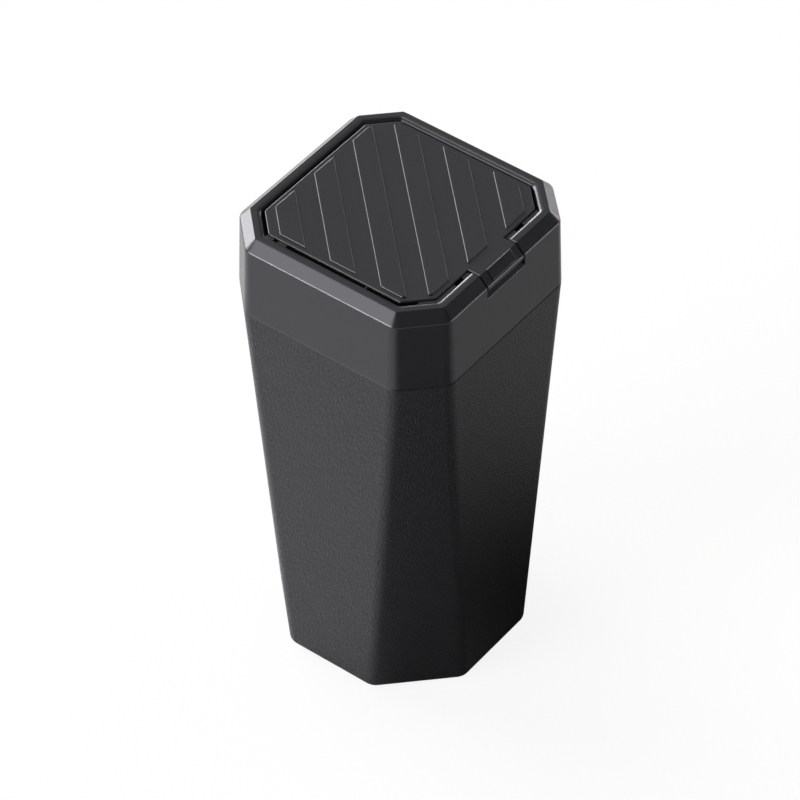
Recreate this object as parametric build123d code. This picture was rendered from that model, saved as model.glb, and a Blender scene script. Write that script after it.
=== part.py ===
from build123d import *
import math
import os

# An octagonal bin for a car: a tapered bucket, a collar that lifts off it, and a flush lid
# that swings on two side pivots. Millimetres. The front is -Y, the hinge end is +Y, and
# z = 0 is the underside of the base pad.

# Overall form
rim_z = 180.0             # flat top of the collar's rim
collar_height = 29.7      # from the seam with the bucket to the rim's top
seam_width = 85.45        # across flats at the seam
seam_leg = 13.04          # how far a corner is cut back along its side, at the seam
base_width = 79.2
base_leg = 22.5           # cut-back at the base, where the outline is nearly regular
base_gap = 0.5            # the bucket's own underside stands this high, on its pad

# Edges of the outside
seam_corner = 5.5         # radius of the upright corners; it shrinks above the seam
base_round = 2.5
seam_bevel = 0.4          # the two bevelled edges that make the V groove of the seam
roll_round = 1.2
rim_round = 0.5

# Rim of the collar
bevel_width = 3.45        # the bevel between the flat rim and the side walls
bevel_drop = 3.6
collar_flare = 0.825      # a collar wall leans out this much from the bevel to the seam
rim_width = 3.86          # flat and inner round together, from the bevel to the throat
throat_round = 2.3        # big round from the flat rim down into the throat
throat_corner = 1.2

# Walls and fits
bucket_wall = 1.8
bucket_floor = 2.0
floor_bevel = 1.6         # where the inside's walls meet its floor
collar_wall = 1.8
throat_wall = 1.6
throat_depth = 12.0       # from the rim's top to the throat's lower edge
slide_fit = 0.25          # between pieces that lift off one another
root = 0.5                # what is added to a wall starts this far inside it

# Bucket
spigot_height = 10.7      # upstand inside the collar
spigot_wall = 1.6
spigot_ramp = 2.2         # slope under the upstand's inner shoulder
ramp_step = 0.2           # small ledges where the slope starts
shoulder_drop = 1.6       # the inner shoulder lies this far below the seam
bead_length = 26.0        # beads that take up the upstand's play
bead_radius = 0.45
bead_proud = 0.2
bead_height = 4.6         # above the seam

# Base pad
pad_thickness = 1.5
pad_inset = 5.0           # from the bucket's outline
pad_fit = 0.15
pad_corner = 3.0

# Bag ring
ring_flange = 1.4
ring_skirt = 9.0
ring_wall = 1.4
ring_overhang = 0.3       # the flange stops this far inside the upstand's outer face
ring_corner = 2.6
skirt_corner = 2.0
hole_corner = 1.2
small_bevel = 0.4         # on the ring and the pad

# Lid
lid_gap = 0.55            # between the lid and the throat
lid_drop = 0.1            # the lid's face lies this much below the rim
lid_plate = 1.7
lid_corner = 1.2
lid_round = 0.5
skirt_wall = 1.6
skirt_depth = 3.9         # from the lid's face to the skirt's lower edge
bar_count = 6
bar_pitch = 14.15
bar_width = 7.2
bar_height = 0.45
bar_margin = 1.85         # between the lid's edge and the bars' ends
bar_round = 0.3
rib_width = 1.2
rib_height = 1.5
rib_places_x = (-11.0, 11.0)
rib_places_y = (-16.0, 3.0)

# Tongue and its notch
tongue_width = 18.8
notch_gap = 0.35          # at each side of the tongue
tongue_thickness = 1.8
lip_drop = 1.5            # the lip's lower edge, below the bevel
lip_round = 0.6
tongue_bevel = 0.25       # along the tongue's sides
thumb_width = 12.3        # raised pad on the tongue's slope
thumb_start = 0.1         # along the slope
thumb_length = 4.05
thumb_height = 0.4
notch_bevel = 0.3
recess_drop = 2.8         # finger scoop, from the lip down to its sill
recess_round = 0.4        # the sill's edge
scoop_start = 5.0         # the scoop's cut starts this far in front of the sill
shelf_gap = 0.55          # under the tongue
pocket_wall = 1.6

# Pivots
pivot_inset = 11.45       # from the lid's rear edge to the pivot's axis
pivot_drop = 3.0          # from the rim's top to the axis
pin_radius = 1.2
pin_length = 6.6
pin_bevel = 0.25
pin_reach = 1.7           # beyond the lid's side
bearing_fit = 0.05
ear_radius = 2.3
ear_depth = 3.0           # inward from the skirt
boss_front = 4.3          # from the axis
boss_rear = 4.0
boss_depth = 7.0          # below the axis
boss_width = 3.6          # outward from the throat
relief_start = 4.0        # behind the axis, where the throat wall ends
open_angle = 95.0         # the open lid leans back a little and rests on two pegs
stop_arm = 6.0            # from the axis to where the open lid's skirt meets a peg
stop_radius = 1.2
stop_reach = 5.0          # inward from the throat
stop_clearance = 0.02

# Guides in the gap between throat and lid
guide_gap = 0.2
guide_drop = 0.6          # below the rim
guide_height = 2.9
guide_bite = 1.0          # into the throat wall
guide_front = 30.5        # the front guides start this far forward
guide_slot_x = (-15.2, 16.5)
guide_slot_width = 4.0
guide_rib_y = -13.2
guide_rib_width = 0.6
pin_slot = 1.7            # in the guide over the left pin
pin_slot_bite = 0.7       # into the throat wall

# Rest pads for the lid
rest_x = 18.0
rest_length = 9.0
rest_width = 1.8
rest_height = 1.1
ledge_reach = 2.4         # inward from the throat
ledge_length = 12.0
ledge_thickness = 1.5

# Worked out from the sizes above
PARALLEL = 2 - math.sqrt(2)     # growth of a corner's cut-back when an outline is offset by 1
seam_z = rim_z - collar_height
seam_half = seam_width / 2
base_half = base_width / 2
roll_z = rim_z - bevel_drop
roll_half = seam_half - collar_flare
rim_half = roll_half - bevel_width
throat_half = rim_half - rim_width
lean = collar_flare / (roll_z - seam_z)
lid_half = throat_half - lid_gap
lid_z = rim_z - lid_drop
plate_z = lid_z - lid_plate
skirt_z = lid_z - skirt_depth
flange_z = rim_z - collar_wall
lip_z = roll_z - lip_drop
recess_z = lip_z - recess_drop
throat_z = rim_z - throat_depth
spigot_z = seam_z + spigot_height
pivot_y = lid_half - pivot_inset
pivot_z = rim_z - pivot_drop
notch_half = tongue_width / 2 + notch_gap
pocket_half = notch_half + pocket_wall
shelf_z = rim_z - tongue_thickness - shelf_gap - bevel_width / 2
sill_y = -(roll_half + lean * (roll_z - recess_z))
scoop_y = sill_y + (shelf_z - recess_z) * bevel_width / bevel_drop
FAR = 900.0                     # beyond every face


def leg_at(half):
    """Cut-back of an outline that runs parallel to the seam's, at this half width."""
    return seam_leg - PARALLEL * (seam_half - half)


def corners(half, leg):
    """The eight points of an outline with four long sides and four cut corners."""
    side = half - leg
    return [
        (half, -side),
        (half, side),
        (side, half),
        (-side, half),
        (-half, side),
        (-half, -side),
        (-side, -half),
        (side, -half),
    ]


def outline(half, leg, corner=0):
    """Octagonal face, with a radius at each of its points."""
    face = make_face(Polyline(*corners(half, leg), close=True))
    return fillet(face.vertices(), corner) if corner else face


def frustum(low, high, corner):
    """Flat-sided block between two octagons given as (z, half width, cut-back)."""
    lower = [(x, y, low[0]) for x, y in corners(*low[1:])]
    upper = [(x, y, high[0]) for x, y in corners(*high[1:])]
    faces = [make_face(Polyline(*points, close=True)) for points in (lower, upper)]
    for a in range(8):
        b = (a + 1) % 8
        faces.append(make_face(Polyline(lower[a], lower[b], upper[b], upper[a], close=True)))
    solid = Solid(Shell(faces))
    upright = [e for e in solid.edges() if abs((e @ 0).Z - (e @ 1).Z) > 1]
    return fillet(upright, corner)


def taper(low, low_half, high, high_half, corner):
    """Block parallel to the collar that grows or shrinks evenly from one level to the next."""
    angle = math.degrees(math.atan((low_half - high_half) / (high - low)))
    face = outline(low_half, leg_at(low_half), corner)
    return Pos(0, 0, low) * extrude(face, amount=high - low, taper=angle)


def collar_block(inset):
    """The collar's outside, or the same shape further in."""
    corner = seam_corner - inset
    wall = taper(seam_z, seam_half - inset, roll_z, roll_half - inset, corner)
    return wall + taper(roll_z, roll_half - inset, rim_z, rim_half - inset, corner - collar_flare)


def prism(half, low, high, corner):
    """Upright octagonal block, parallel to the collar."""
    return Pos(0, 0, low) * extrude(outline(half, leg_at(half), corner), amount=high - low)


def block(low, high):
    """Box between two corners."""
    size = [b - a for a, b in zip(low, high)]
    middle = [(a + b) / 2 for a, b in zip(low, high)]
    return Pos(*middle) * Box(*size)


def reach(point):
    """Half width of the outline, parallel to the collar's, that passes through a point."""
    corner = (abs(point.X) + abs(point.Y) + seam_leg - PARALLEL * seam_half) / math.sqrt(2)
    return max(abs(point.X), abs(point.Y), corner)


def edges_at(solid, z, half=None):
    """Edges that lie level at this height, all of them or those of one outline."""
    found = []
    for edge in solid.edges():
        level = all(abs((edge @ share).Z - z) < 0.001 for share in (0, 0.5, 1))
        if level and (half is None or abs(reach(edge.center()) - half) < 0.6):
            found.append(edge)
    return found


def side_profile(points, width):
    """Solid of constant section across the bin, from points given as (y, z)."""
    face = Plane.YZ * make_face(Polyline(*points, close=True))
    return Pos(-width / 2, 0, 0) * extrude(face, amount=width)


def both_sides(solid):
    """The solid and its mirror image on the other side of the bin."""
    return solid + mirror(solid, about=Plane.YZ)


def rod_x(radius, start, end, y, z):
    """Round bar across the bin."""
    return Pos((start + end) / 2, y, z) * Rot(0, 90, 0) * Cylinder(radius, end - start)


def spigot_half(z, inset):
    """Half width inside the collar's wall at this height, further in by an inset."""
    return seam_half - lean * (z - seam_z) - collar_wall - inset


def locating_beads():
    """Four half-round beads on the upstand's outer faces."""
    z = seam_z + bead_height
    centre = spigot_half(z, slide_fit) + bead_proud - bead_radius
    bead = Pos(0, -centre, z) * Rot(0, 90, 0) * Cylinder(bead_radius, bead_length)
    return [Rot(0, 0, 90 * turn) * bead for turn in range(4)]


def make_bucket():
    outer = frustum((base_gap, base_half, base_leg), (seam_z, seam_half, seam_leg), seam_corner)
    outer = fillet(edges_at(outer, base_gap), base_round)
    outer = chamfer(edges_at(outer, seam_z), seam_bevel)
    spigot_foot = seam_z - root
    spigot_out = spigot_half(spigot_foot, slide_fit)
    spigot_top = spigot_half(spigot_z, slide_fit)
    spigot_corner = seam_corner - collar_wall - slide_fit
    outer += taper(spigot_foot, spigot_out, spigot_z, spigot_top, spigot_corner)
    floor_z = base_gap + pad_recess() + bucket_floor
    share = (floor_z - base_gap) / (seam_z - base_gap)
    floor_half = base_half + share * (seam_half - base_half) - bucket_wall
    floor_leg = base_leg + share * (seam_leg - base_leg) - PARALLEL * bucket_wall
    shoulder_z = seam_z - shoulder_drop
    ramp_z = shoulder_z - spigot_ramp
    wide = seam_half - bucket_wall - ramp_step / 2
    narrow = spigot_top - spigot_wall
    inner_corner = seam_corner - bucket_wall
    inside = frustum((floor_z, floor_half, floor_leg), (ramp_z, wide, leg_at(wide)), inner_corner)
    inside = chamfer(edges_at(inside, floor_z), floor_bevel)
    inside += taper(ramp_z, wide - ramp_step, shoulder_z, narrow, inner_corner - ramp_step)
    inside += prism(narrow, shoulder_z, spigot_z, inner_corner - (wide - narrow))
    bucket = outer - inside
    recess_half = base_half - pad_inset + pad_fit
    recess_leg = base_leg - PARALLEL * (pad_inset - pad_fit)
    recess = extrude(outline(recess_half, recess_leg, pad_corner), amount=pad_recess())
    bucket -= Pos(0, 0, base_gap) * recess
    for bead in locating_beads():
        bucket += bead
    return bucket


def pad_recess():
    """Depth of the pad's seat in the bucket's underside."""
    return pad_thickness - base_gap


def make_base_pad():
    half = base_half - pad_inset
    leg = base_leg - PARALLEL * pad_inset
    pad = extrude(outline(half, leg, pad_corner), amount=pad_thickness)
    return chamfer(edges_at(pad, 0), small_bevel)


def make_bag_ring():
    flange_half = spigot_half(spigot_z, slide_fit) - ring_overhang
    skirt_half = spigot_half(spigot_z, slide_fit) - spigot_wall - slide_fit
    hole_half = skirt_half - ring_wall
    ring = prism(flange_half, spigot_z, spigot_z + ring_flange, ring_corner)
    ring += prism(skirt_half, spigot_z - ring_skirt, spigot_z, skirt_corner)
    ring -= prism(hole_half, spigot_z - ring_skirt, spigot_z + ring_flange, hole_corner)
    return chamfer(edges_at(ring, spigot_z + ring_flange), small_bevel)


def slope_point(along, out):
    """Point (y, z) on the front bevel, so far down its slope and so far out of it."""
    length = math.hypot(bevel_width, bevel_drop)
    down = (-bevel_width / length, -bevel_drop / length)
    normal = (down[1], -down[0])
    return (-rim_half + down[0] * along + normal[0] * out, rim_z + down[1] * along + normal[1] * out)


def above_scoop(point):
    """Whether a point on the notch's sides lies above its floor and its scoop."""
    slope = recess_z + (point.Y - sill_y) * bevel_drop / bevel_width
    return point.Z > min(slope, shelf_z) + notch_bevel


def make_collar():
    outer = collar_block(0)
    shoulder = collar_wall * math.sqrt(2)
    inner_roll = roll_half - collar_wall
    inner_roll_z = roll_half + roll_z - shoulder - inner_roll
    inner_rim = roll_half + roll_z - shoulder - flange_z
    inner_corner = seam_corner - collar_wall
    hollow = taper(seam_z, seam_half - collar_wall, inner_roll_z, inner_roll, inner_corner)
    inner_corner -= collar_flare
    hollow += taper(inner_roll_z, inner_roll, flange_z, inner_rim, inner_corner)
    hollow -= prism(throat_half + throat_wall, throat_z, rim_z, throat_corner + throat_wall)
    throat = prism(throat_half, throat_z, rim_z, throat_corner)
    collar = outer - hollow - throat
    collar = fillet(edges_at(collar, rim_z, throat_half), throat_round)
    collar = fillet(edges_at(collar, roll_z), roll_round)
    collar = fillet(edges_at(collar, rim_z, rim_half), rim_round)
    collar = chamfer(edges_at(collar, seam_z, seam_half), seam_bevel)

    # Notch for the tongue, with a finger scoop under its lip
    under = side_profile([
        (sill_y, recess_z - pocket_wall),
        (sill_y + collar_wall, recess_z - pocket_wall),
        (scoop_y + pocket_wall, shelf_z - pocket_wall),
        (-throat_half, shelf_z - pocket_wall),
        (-throat_half, flange_z),
        (sill_y, flange_z),
    ], 2 * pocket_half)
    collar += under & collar_block(root)
    collar -= side_profile([
        (sill_y - scoop_start, recess_z - scoop_start * bevel_drop / bevel_width),
        (scoop_y, shelf_z),
        (-lid_half + skirt_wall, shelf_z),
        (-lid_half + skirt_wall, FAR),
        (sill_y - scoop_start, FAR),
    ], 2 * notch_half)
    sides = [e for e in collar.edges() if abs(abs((e @ 0.5).X) - notch_half) < 0.001]
    collar = chamfer([e for e in sides if above_scoop(e @ 0.5)], notch_bevel)
    sill = [e for e in edges_at(collar, recess_z) if e.length > tongue_width]
    collar = fillet(sill, recess_round)

    # The throat is open behind the pivots, where the lid's rear end dips.
    relief_half = throat_half + throat_wall + root
    relief = prism(relief_half, throat_z - root, flange_z, throat_corner + throat_wall)
    relief &= block((-FAR, pivot_y + relief_start, 0), (FAR, FAR, FAR))
    collar -= relief

    # Guides in the gap, at the front and on the left
    guide_low = rim_z - guide_drop - guide_height
    band = prism(throat_half + guide_bite, guide_low, rim_z - guide_drop, throat_corner + guide_bite)
    band -= prism(lid_half + guide_gap, guide_low, rim_z, throat_corner)
    front = band & block((-FAR, -FAR, 0), (throat_half - leg_at(throat_half), -guide_front, FAR))
    beside = notch_half + notch_bevel
    front -= block((-beside, -FAR, 0), (beside, 0, FAR))
    for x in guide_slot_x:
        front -= block((x - guide_slot_width / 2, -FAR, 0), (x + guide_slot_width / 2, 0, FAR))
    half_rib = guide_rib_width / 2
    rib = band & block((-FAR, guide_rib_y - half_rib, 0), (0, guide_rib_y + half_rib, FAR))
    pin_guide = block(
        (-throat_half - guide_bite, pivot_y - boss_front, guide_low),
        (-lid_half - guide_gap, pivot_y + boss_rear, rim_z - guide_drop),
    )
    collar += front + rib + pin_guide
    collar -= block(
        (-throat_half - pin_slot_bite, pivot_y - pin_slot / 2, pivot_z),
        (0, pivot_y + pin_slot / 2, rim_z - guide_drop),
    )

    # Bearings for the pins: blind bores, each in a boss behind the throat
    boss = block(
        (throat_half, pivot_y - boss_front, pivot_z - boss_depth),
        (throat_half + boss_width, pivot_y + boss_rear, flange_z),
    )
    collar += both_sides(boss)
    pin_end = lid_half + pin_reach + slide_fit
    collar -= both_sides(rod_x(pin_radius + bearing_fit, lid_half, pin_end, pivot_y, pivot_z))

    # Stop pegs: tangent to the skirt's lower edge when the lid is fully open
    opened = math.radians(open_angle)
    depth = pivot_z - skirt_z + stop_clearance + stop_radius
    peg_y = pivot_y + stop_arm * math.cos(opened) - depth * math.sin(opened)
    peg_z = pivot_z - stop_arm * math.sin(opened) - depth * math.cos(opened)
    peg = rod_x(stop_radius, throat_half - stop_reach, throat_half + throat_wall / 2, peg_y, peg_z)
    collar += both_sides(peg)

    # Ledges that carry the lid's rest pads
    ledge_z = skirt_z - rest_height
    ledge = side_profile([
        (-throat_half - root, ledge_z),
        (-throat_half + ledge_reach, ledge_z),
        (-throat_half + ledge_reach, ledge_z - ledge_thickness),
        (-throat_half - root, ledge_z - ledge_thickness - ledge_reach),
    ], ledge_length)
    for side in (-1, 1):
        collar += Pos(side * rest_x, 0, 0) * ledge

    return collar


def make_rest_pad(side):
    y = -lid_half + skirt_wall / 2
    pad = extrude(SlotOverall(rest_length, rest_width), amount=rest_height)
    return Pos(side * rest_x, y, skirt_z - rest_height) * pad


def make_bars():
    area = outline(lid_half - bar_margin, leg_at(lid_half - bar_margin))
    bars = []
    for number in range(bar_count):
        across = (number - (bar_count - 1) / 2) * bar_pitch
        strip = Rot(0, 0, 45) * Pos(0, across) * Rectangle(FAR, bar_width)
        bar = extrude(area & strip, amount=bar_height + root)
        bar = Pos(0, 0, lid_z - root) * bar
        bars.append(fillet(edges_at(bar, lid_z + bar_height), bar_round))
    return bars


def make_lid():
    lid = prism(lid_half, plate_z, lid_z, lid_corner)
    lid = fillet(edges_at(lid, lid_z), lid_round)
    skirt = prism(lid_half, skirt_z, plate_z, lid_corner)
    skirt -= prism(lid_half - skirt_wall, skirt_z, plate_z, skirt_corner)
    lid += skirt

    inside = lid_half - skirt_wall / 2
    for x in rib_places_x:
        low = (x - rib_width / 2, -inside, plate_z - rib_height)
        lid += block(low, (x + rib_width / 2, inside, plate_z))
    for y in rib_places_y:
        low = (-inside, y - rib_width / 2, plate_z - rib_height)
        lid += block(low, (inside, y + rib_width / 2, plate_z))

    # Tongue: flat, slope and lip in line with the collar's rim
    slope = math.hypot(bevel_width, bevel_drop)
    lip_y = -(roll_half + lean * lip_drop)
    under_lip = -(roll_half - tongue_thickness)
    under_slope = roll_half + roll_z - tongue_thickness * math.sqrt(2)
    tongue = side_profile([
        (-lid_half + skirt_wall, lid_z),
        (-rim_half - lid_drop * bevel_width / bevel_drop, lid_z),
        slope_point(slope, 0),
        (lip_y, lip_z),
        (under_lip, lip_z),
        (under_lip, under_slope + under_lip),
        (-(under_slope - plate_z), plate_z),
        (-lid_half + skirt_wall, plate_z),
    ], tongue_width)
    across = tongue.edges().filter_by(Axis.X)
    tongue = fillet([e for e in across if abs(e.center().Z - lip_z) < 0.01], lip_round)
    across = tongue.edges().filter_by(Axis.X)
    tongue = fillet([e for e in across if abs(e.center().Z - roll_z) < 0.01], roll_round)
    across = tongue.edges().filter_by(Axis.X)
    crest = [e for e in across if e.center().Z > lid_z - 0.01 and e.center().Y < -lid_half]
    tongue = fillet(crest, rim_round)
    ends = [f for f in tongue.faces() if abs(abs(f.center().X) - tongue_width / 2) < 0.01]
    tongue = chamfer([e for f in ends for e in f.edges()], tongue_bevel)
    lid += tongue
    thumb = side_profile([
        slope_point(thumb_start, -root),
        slope_point(thumb_start, thumb_height),
        slope_point(thumb_start + thumb_length, thumb_height),
        slope_point(thumb_start + thumb_length, -root),
    ], thumb_width)
    raised = [e for e in thumb.edges() if e.center().Z - e.center().Y > roll_half + roll_z + 0.2]
    lid += fillet(raised, thumb_height / 2)

    for bar in make_bars():
        lid += bar

    # Ears that hold the pivot pins
    ear_in = lid_half - skirt_wall - ear_depth
    ear = rod_x(ear_radius, ear_in, lid_half, pivot_y, pivot_z)
    ear += block((ear_in, pivot_y - ear_radius, pivot_z), (lid_half, pivot_y + ear_radius, plate_z + root))
    lid += both_sides(ear)
    pin = rod_x(pin_radius, lid_half + pin_reach - pin_length, lid_half + pin_reach, pivot_y, pivot_z)
    lid -= both_sides(pin)
    return lid


def make_pin():
    pin = rod_x(pin_radius, lid_half + pin_reach - pin_length, lid_half + pin_reach, pivot_y, pivot_z)
    return chamfer(pin.edges(), pin_bevel)


def write(name, shape):
    solids = shape if isinstance(shape, list) else [shape]
    whole = Compound(children=[s for part in solids for s in part.solids()])
    export_step(whole, "parts/" + name + ".step")
    print(name, round(sum(s.volume for s in whole.solids()), 1), "mm3")


os.makedirs("parts", exist_ok=True)
write("bin_body", make_bucket())
write("base_pad", make_base_pad())
write("bag_ring", make_bag_ring())
write("collar_frame", make_collar())
write("rest_pad_left", make_rest_pad(-1))
write("rest_pad_right", make_rest_pad(1))
write("lid_panel", make_lid())
pin_right = make_pin()
write("pivot_pin_right", pin_right)
write("pivot_pin_left", mirror(pin_right, about=Plane.YZ))
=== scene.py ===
import bmesh
import bpy
import math
from mathutils import Matrix, Vector

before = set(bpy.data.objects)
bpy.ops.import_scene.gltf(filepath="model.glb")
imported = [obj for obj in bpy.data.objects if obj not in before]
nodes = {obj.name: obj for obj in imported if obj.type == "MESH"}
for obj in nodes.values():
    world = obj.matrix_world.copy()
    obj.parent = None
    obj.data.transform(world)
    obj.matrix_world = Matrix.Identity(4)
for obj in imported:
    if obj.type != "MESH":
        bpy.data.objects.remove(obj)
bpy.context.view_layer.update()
mm = 0.001
print("frame loaded:", len(nodes), "nodes")


# Shader maths on sockets: an expression adds its own Math nodes.
class Value:
    def __init__(self, shader, socket):
        self.shader = shader
        self.socket = socket

    def math(self, operation, *others):
        return self.shader.maths(operation, self, *others)

    def __add__(self, other):
        return self.shader.maths("ADD", self, other)

    def __radd__(self, other):
        return self.shader.maths("ADD", other, self)

    def __sub__(self, other):
        return self.shader.maths("SUBTRACT", self, other)

    def __rsub__(self, other):
        return self.shader.maths("SUBTRACT", other, self)

    def __mul__(self, other):
        return self.shader.maths("MULTIPLY", self, other)

    def __rmul__(self, other):
        return self.shader.maths("MULTIPLY", other, self)

    def __truediv__(self, other):
        return self.shader.maths("DIVIDE", self, other)

    def __rtruediv__(self, other):
        return self.shader.maths("DIVIDE", other, self)

    # 0 below low, 1 above high, with a soft step between
    def above(self, low, high):
        settings = {"interpolation_type": "SMOOTHSTEP"}
        inputs = {"Value": self, "From Min": low, "From Max": high}
        return self.shader.node("ShaderNodeMapRange", settings, inputs)


class Shader:
    def __init__(self, tree):
        self.tree = tree
        self.tree.nodes.clear()

    def node(self, kind, settings=None, inputs=None, output=0):
        made = self.tree.nodes.new(kind)
        for name, value in (settings or {}).items():
            setattr(made, name, value)
        pairs = inputs.items() if isinstance(inputs, dict) else enumerate(inputs or [])
        for name, value in pairs:
            if isinstance(value, Value):
                self.tree.links.new(value.socket, made.inputs[name])
            else:
                made.inputs[name].default_value = value
        return Value(self, made.outputs[output]) if made.outputs else None

    def maths(self, operation, *values):
        return self.node("ShaderNodeMath", {"operation": operation}, values)

    def place(self, output="Object"):
        return self.node("ShaderNodeTexCoord", output=output)

    def split(self, vector, axes):
        return [self.node("ShaderNodeSeparateXYZ", {}, [vector], output=axis) for axis in axes]

    def length(self, vector):
        return self.node("ShaderNodeVectorMath", {"operation": "LENGTH"}, [vector], output="Value")

    def noise(self, vector, scale, detail):
        return self.node("ShaderNodeTexNoise", {}, {"Vector": vector, "Scale": scale, "Detail": detail})

    def bump(self, distance, height):
        return self.node("ShaderNodeBump", {}, {"Strength": 1.0, "Distance": distance, "Height": height})

    def ray(self, kind):
        return self.node("ShaderNodeLightPath", output=kind)

    def mirrored(self):
        return self.ray("Is Glossy Ray") + self.ray("Is Transmission Ray")

    def glow(self, shade):
        return self.node("ShaderNodeEmission", {}, {"Color": (shade, shade, shade, 1), "Strength": 1.0})

    def blend(self, factor, first, second):
        return self.node("ShaderNodeMixShader", {}, [factor, first, second])

    def finish(self, surface, output="ShaderNodeOutputMaterial"):
        self.node(output, {}, {"Surface": surface})


def newMaterial(name):
    material = bpy.data.materials.new(name)
    material.use_nodes = True
    return material, Shader(material.node_tree)


def dress(material, nodeNames):
    for nodeName in nodeNames:
        mesh = nodes[nodeName].data
        mesh.materials.clear()
        mesh.materials.append(material)


# Satin black moulding: collar and lid
satin = {
    "pieces": ("collar_frame", "lid_panel"),
    "colour": (0.008, 0.008, 0.009),
    "tint": (0.93, 0.93, 1.0),   # of the highlights
    "roughness": 0.3,
    "roughSwing": 0.05,
    "cloudScale": 60.0,          # slow change of roughness
    "cloudDetail": 3.0,
    "sparkScale": 3800.0,        # fine unevenness
    "sparkDetail": 2.0,
    "sparkDepth": 0.012 * mm,
}


def makeSatin():
    material, shader = newMaterial("satinPlastic")
    place = shader.place()
    fine = shader.noise(place, satin["sparkScale"], satin["sparkDetail"])
    cloud = shader.noise(place, satin["cloudScale"], satin["cloudDetail"])
    shader.finish(shader.node("ShaderNodeBsdfPrincipled", {}, {
        "Base Color": (*satin["colour"], 1),
        "Roughness": cloud * satin["roughSwing"] + (satin["roughness"] - satin["roughSwing"] / 2),
        "Specular Tint": (*satin["tint"], 1),
        "Normal": shader.bump(satin["sparkDepth"], fine),
    }))
    dress(material, satin["pieces"])


# Grained black moulding: the bucket. The grain's strokes lean one way on each kind of face.
grain = {
    "pieces": ("bin_body",),
    "colour": (0.011, 0.011, 0.012),
    # the grain's hollows get a darker colour: painted shade in the hollows
    "paintedPitShade": (0.003, 0.003, 0.0035),
    "pitFrom": 0.25,             # noise heights between which pit turns to top
    "pitTo": 0.75,
    "tint": (0.93, 0.93, 1.0),
    "gloss": 0.34,
    "roughness": 0.42,
    "roughSwing": 0.12,
    "depth": 0.4 * mm,
    "strokePitch": 0.44 * mm,
    "strokeDetail": 1.0,
    "faceFrom": 0.80,            # squared part of the normal from which a face counts as side or front
    "faceTo": 0.90,
    "smoothFrom": 149.2 * mm,    # the grain stops just under the seam
    "smoothTo": 149.7 * mm,
    # Lean in degrees from level going round anticlockwise, and a shift that keeps the patterns apart
    "side": {"lean": 66, "length": 1.9 * mm, "strength": 1.0, "shift": 0.0},
    "front": {"lean": -50, "length": 1.9 * mm, "strength": 0.4, "shift": 7.0},
    "corner": {"lean": -63, "length": 1.2 * mm, "strength": 0.6, "shift": 13.0},
}


def makeGrain():
    material, shader = newMaterial("grainedPlastic")
    x, y, height = shader.split(shader.place(), "XYZ")
    faceX, faceY = shader.split(shader.place("Normal"), "XY")
    onSide = (faceX * faceX).above(grain["faceFrom"], grain["faceTo"])
    onFront = (faceY * faceY).above(grain["faceFrom"], grain["faceTo"])
    alongSide = y * x.math("SIGN")
    alongFront = x * y.math("SIGN") * -1
    alongCorner = (alongSide + alongFront) * math.sqrt(0.5)

    def strokes(along, stroke):
        lean = math.radians(stroke["lean"])
        run = (along * math.cos(lean) + height * math.sin(lean)) / stroke["length"]
        step = (height * math.cos(lean) - along * math.sin(lean)) / grain["strokePitch"]
        spot = shader.node("ShaderNodeCombineXYZ", {}, [run, step, stroke["shift"]])
        return (shader.noise(spot, 1.0, grain["strokeDetail"]) - 0.5) * stroke["strength"]

    grained = strokes(alongSide, grain["side"]) * onSide
    grained = grained + strokes(alongFront, grain["front"]) * onFront
    grained = grained + strokes(alongCorner, grain["corner"]) * (1 - onSide - onFront)
    grained = grained * (1 - height.above(grain["smoothFrom"], grain["smoothTo"])) + 0.5
    top = grained.above(grain["pitFrom"], grain["pitTo"])
    # the hollows of the grain take the darker colour as painted shade
    colours = {0: top, 6: (*grain["paintedPitShade"], 1), 7: (*grain["colour"], 1)}  # factor and the two colours
    shader.finish(shader.node("ShaderNodeBsdfPrincipled", {}, {
        "Base Color": shader.node("ShaderNodeMix", {"data_type": "RGBA"}, colours, output=2),
        "Roughness": grain["roughness"] + grain["roughSwing"] * 0.5 - top * grain["roughSwing"],
        "Specular IOR Level": grain["gloss"],
        "Specular Tint": (*grain["tint"], 1),
        "Normal": shader.bump(grain["depth"], grained),
    }))
    dress(material, grain["pieces"])


# Small pieces: plain plastic, rubber and steel
plain = {"scale": 900.0, "detail": 3.0, "depth": 0.01 * mm, "roughSwing": 0.1}
plainMaterials = {
    "ringPlastic": {
        "pieces": ("bag_ring",),
        "colour": (0.02, 0.02, 0.021), "roughness": 0.45, "metallic": 0.0,
    },
    "padRubber": {
        "pieces": ("base_pad", "rest_pad_left", "rest_pad_right"),
        "colour": (0.015, 0.015, 0.015), "roughness": 0.8, "metallic": 0.0,
    },
    "pinSteel": {
        "pieces": ("pivot_pin_left", "pivot_pin_right"),
        "colour": (0.62, 0.62, 0.63), "roughness": 0.25, "metallic": 1.0,
    },
}


def makePlain(name, looks):
    material, shader = newMaterial(name)
    noise = shader.noise(shader.place(), plain["scale"], plain["detail"])
    shader.finish(shader.node("ShaderNodeBsdfPrincipled", {}, {
        "Base Color": (*looks["colour"], 1),
        "Roughness": noise * plain["roughSwing"] + (looks["roughness"] - plain["roughSwing"] / 2),
        "Metallic": looks["metallic"],
        "Normal": shader.bump(plain["depth"], noise),
    }))
    dress(material, looks["pieces"])


makeSatin()
makeGrain()
for materialName, looks in plainMaterials.items():
    makePlain(materialName, looks)
print("materials made")


def makeSheet(name, half, height):
    made = bmesh.new()
    bmesh.ops.create_grid(made, x_segments=1, y_segments=1, size=half)
    bmesh.ops.translate(made, verts=made.verts, vec=(0, 0, height))
    mesh = bpy.data.meshes.new(name)
    made.to_mesh(mesh)
    made.free()
    sheet = bpy.data.objects.new(name, mesh)
    bpy.context.scene.collection.objects.link(sheet)
    return sheet


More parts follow.
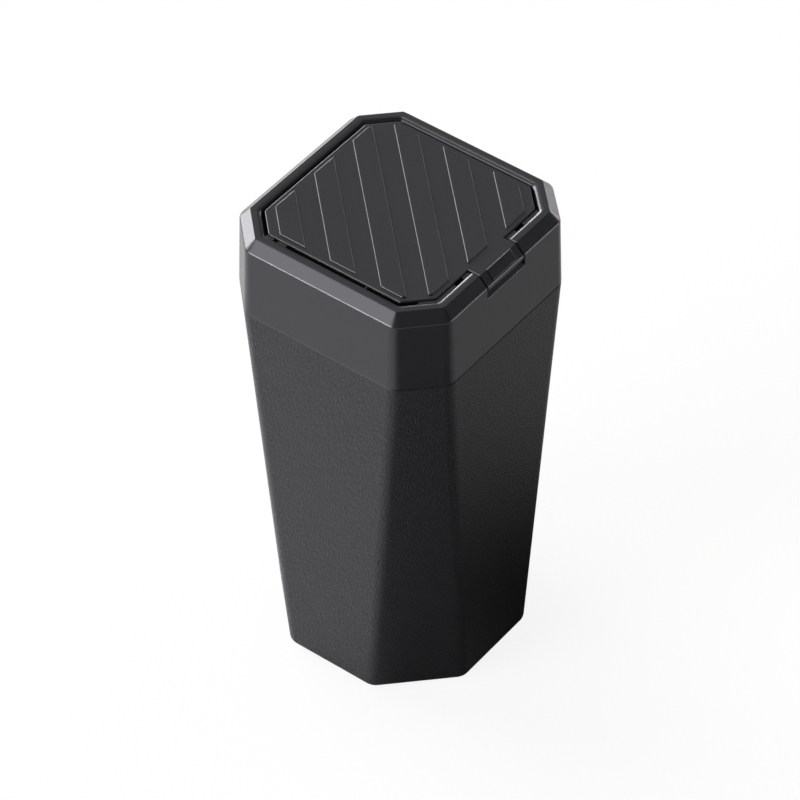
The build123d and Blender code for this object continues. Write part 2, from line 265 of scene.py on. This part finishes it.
# Floor: white paper that keeps the object's shadow
floorSettings = {
    "half": 4.0,
    "paper": 0.9,
    "whiteShare": 0.88,     # of what the camera sees
    "backdropStart": 0.05,  # from here outwards reflections see the white background
    "backdropEnd": 0.3,
}


def makeFloor():
    floor = makeSheet("floor", floorSettings["half"], 0)
    material, shader = newMaterial("palePaper")
    far = shader.length(shader.place()).above(floorSettings["backdropStart"], floorSettings["backdropEnd"])
    paper = shader.node("ShaderNodeBsdfDiffuse", {}, {"Color": (*[floorSettings["paper"]] * 3, 1)})
    background = shader.ray("Is Camera Ray") * floorSettings["whiteShare"] + shader.mirrored() * far
    shader.finish(shader.blend(background, paper, shader.glow(1)))
    floor.data.materials.append(material)


# Card flat on the floor in front, seen only in reflections: it glows with a painted reflection of the
# floor, and painted shadow of the object near it on the right
paintedReflectionCard = {
    "reach": 0.55,
    "fadeFrom": 0.275,
    "height": 0.4 * mm,
    "leftStart": -168,      # the card's two edges, in degrees from +X
    "leftEnd": -138,
    "rightStart": -28,
    "rightEnd": 0,
    "middle": 0.03,         # half the width over which left turns to right
    "leftPaintedReflection": 0.09,
    "rightPaintedReflection": 0.44,      # painted reflection on the right: painted shadow near the object, brightening away from it
    "rightNear": 0.075,
    "rightFar": 0.165,
}


def makePaintedReflectionCard():
    card = makeSheet("paintedShadowCard", paintedReflectionCard["reach"], paintedReflectionCard["height"])
    material, shader = newMaterial("paintedShadowGlow")
    place = shader.place()
    x, y = shader.split(place, "XY")
    way = y.math("ARCTAN2", x)
    radius = shader.length(place)
    right = x.above(-paintedReflectionCard["middle"], paintedReflectionCard["middle"])
    # painted shade: on the right black near the object as painted shadow, brighter away from it; a dim
    # painted reflection on the left
    shade = radius.above(paintedReflectionCard["rightNear"], paintedReflectionCard["rightFar"]) * paintedReflectionCard["rightPaintedReflection"] * right
    shade = shade + (1 - right) * paintedReflectionCard["leftPaintedReflection"]
    solid = way.above(math.radians(paintedReflectionCard["leftStart"]), math.radians(paintedReflectionCard["leftEnd"]))
    solid = solid * (1 - way.above(math.radians(paintedReflectionCard["rightStart"]), math.radians(paintedReflectionCard["rightEnd"])))
    solid = solid * (1 - radius.above(paintedReflectionCard["fadeFrom"], paintedReflectionCard["reach"]))
    clear = shader.node("ShaderNodeBsdfTransparent", {}, {"Color": (1, 1, 1, 1)})
    # the card's glow is painted reflection, not a lamp
    dark = shader.blend(shade, shader.glow(0), shader.glow(1))
    shader.finish(shader.blend(solid, clear, dark))
    card.data.materials.append(material)
    card.visible_camera = False
    card.visible_diffuse = False
    card.visible_shadow = False


# Soft boxes round the object: strength, azimuth from +X, elevation, half width, half height
# and softness of the edge, all but the strength in degrees
softBoxes = {
    "topLight": (0.68, 38, 54, 75, 20, 7),
    "overheadStrip": (6.5, 92, 66, 26, 6, 4),
    "leftBox": (5.2, 152, 33, 20, 12, 7),
    "leftStrip": (34.0, 156, 5, 16, 6, 4),
    "backLeftBox": (10.5, 91, 9, 20, 17, 5),
    "backStrip": (15.0, 57, 7, 13, 10, 3),
    "rightBox": (8.0, -4, 1, 16, 5, 3),
    "frontRightStrip": (11.0, -56, 3, 16, 4, 3),
    "frontFill": (0.17, -128, 48, 40, 26, 12),
}
room = {
    "dim": 0.06,          # the dark room between the boxes
    "sideSoftness": 1.5,  # a box's left and right edges are this many times softer
    "backdropWay": 38,    # the white background behind the object
    "backdropHalf": 60,
    "backdropSoft": 15,
    "backdropTop": 24,
}


def makeWorld():
    world = bpy.data.worlds.new("studioWorld")
    bpy.context.scene.world = world
    world.use_nodes = True
    shader = Shader(world.node_tree)
    x, y, z = shader.split(shader.place("Generated"), "XYZ")  # in a world this is the direction
    azimuth = y.math("ARCTAN2", x)
    elevation = z.math("ARCSINE")

    def within(angle, centre, half, soft):
        away = (angle - math.radians(centre)).math("WRAP", math.pi, -math.pi).math("ABSOLUTE")
        return 1 - away.above(math.radians(half - soft), math.radians(half + soft))

    def light(strength):
        return shader.node("ShaderNodeBackground", {}, {"Color": (1, 1, 1, 1), "Strength": strength})

    behind = within(azimuth, room["backdropWay"], room["backdropHalf"], room["backdropSoft"])
    behind = behind * (1 - elevation.above(0, math.radians(room["backdropTop"])))
    total = room["dim"]
    for strength, way, height, halfWidth, halfHeight, soft in softBoxes.values():
        box = within(azimuth, way, halfWidth, soft * room["sideSoftness"])
        total = total + box * within(elevation, height, halfHeight, soft) * strength
    mixed = shader.blend(shader.mirrored(), light(total), light(total + behind))
    mixed = shader.blend(shader.ray("Is Camera Ray"), mixed, light(1.0))
    shader.finish(mixed, "ShaderNodeOutputWorld")


keyLamp = {
    "place": (-0.95, 0.5, 0.75),
    "aim": (0, 0, 0.1),
    "size": (0.7, 0.6),
    "power": 1.5,
}


def makeLamp():
    lamp = bpy.data.lights.new("keyLamp", "AREA")
    lamp.shape = "RECTANGLE"
    lamp.size, lamp.size_y = keyLamp["size"]
    lamp.energy = keyLamp["power"]
    holder = bpy.data.objects.new("keyLamp", lamp)
    away = Vector(keyLamp["place"]) - Vector(keyLamp["aim"])
    turn = away.to_track_quat("Z", "Y").to_matrix().to_4x4()
    holder.matrix_world = Matrix.Translation(keyLamp["place"]) @ turn
    holder.visible_glossy = False
    bpy.context.scene.collection.objects.link(holder)


makeFloor()
makePaintedReflectionCard()
makeWorld()
makeLamp()
print("studio built")


# Camera fitted to the photograph's straight edges
view = {
    "target": (0.0, 0.0, 0.0769),
    "targetPixel": (401.1, 440.5),
    "azimuth": -52.45,
    "elevation": 44.84,
    "roll": -0.29,
    "distance": 1.504,
    "focalPixels": 4525.7,
    "framePixels": 800,
    "sensor": 36.0,
    "near": 0.05,
    "far": 30.0,
}


def makeCamera():
    azimuth = math.radians(view["azimuth"])
    elevation = math.radians(view["elevation"])
    roll = math.radians(view["roll"])
    back = Vector((
        math.sin(azimuth) * math.cos(elevation),
        -math.cos(azimuth) * math.cos(elevation),
        math.sin(elevation),
    ))
    right = Vector((math.cos(azimuth), math.sin(azimuth), 0))
    up = back.cross(right)
    rolledRight = right * math.cos(roll) + up * math.sin(roll)
    up = up * math.cos(roll) - right * math.sin(roll)
    place = Vector(view["target"]) + back * view["distance"]
    middle = view["framePixels"] / 2
    perPixel = view["distance"] / view["focalPixels"]
    aim = Vector(view["target"])
    aim -= rolledRight * (view["targetPixel"][0] - middle) * perPixel
    aim += up * (view["targetPixel"][1] - middle) * perPixel
    back = (place - aim).normalized()
    right = up.cross(back).normalized()
    up = back.cross(right)
    camera = bpy.data.cameras.new("photoCamera")
    camera.sensor_width = view["sensor"]
    camera.lens = view["focalPixels"] / view["framePixels"] * view["sensor"]
    camera.clip_start = view["near"]
    camera.clip_end = view["far"]
    holder = bpy.data.objects.new("photoCamera", camera)
    turn = Matrix((right, up, back)).transposed().to_4x4()
    holder.matrix_world = Matrix.Translation(place) @ turn
    bpy.context.scene.collection.objects.link(holder)
    bpy.context.scene.camera = holder


makeCamera()
bpy.context.scene.view_settings.view_transform = "Standard"
print("camera set")
